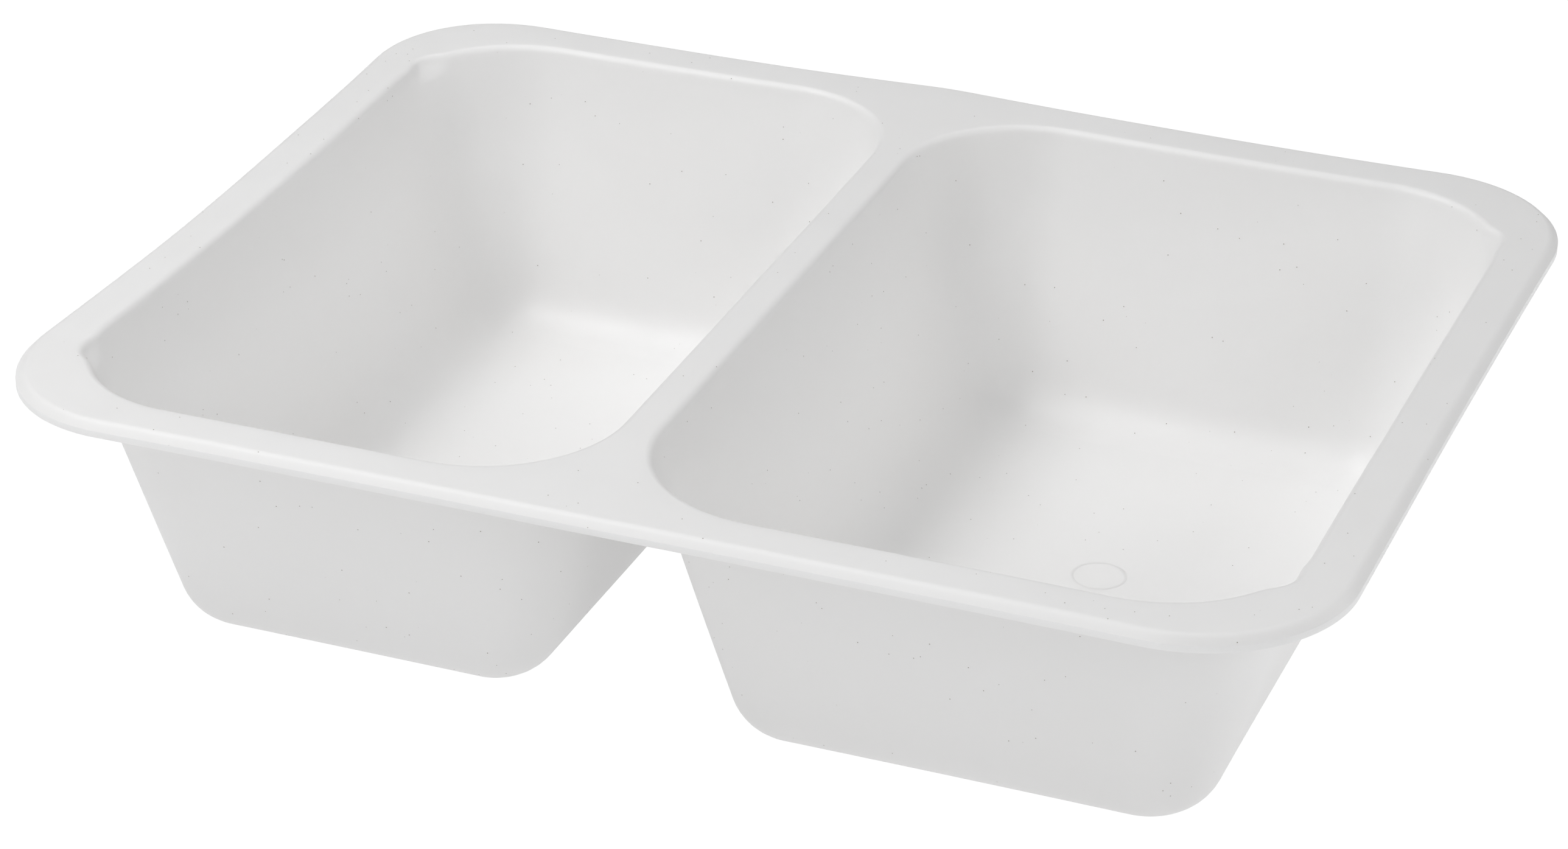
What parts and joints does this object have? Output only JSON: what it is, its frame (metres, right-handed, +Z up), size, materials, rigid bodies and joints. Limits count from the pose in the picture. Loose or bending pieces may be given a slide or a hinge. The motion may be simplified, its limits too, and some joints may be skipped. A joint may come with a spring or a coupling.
{
  "type": "two-compartment food tray",
  "caption": "Shallow one-piece rectangular tray with two drafted wells side by side, a flat sealing flange all round and a narrow divider strip.",
  "frame": {"origin": "under the middle of the tray's outline, on the plane the two well floors stand on", "axes": "+X along the length towards the larger well, +Y towards the back edge, +Z up out of the open wells"},
  "size_m": [0.227, 0.178, 0.05],
  "materials": {
    "tray_plastic": "satin"
  },
  "bodies": {
    "root": {"tray": "tray_plastic"}
  },
  "joints": []
}
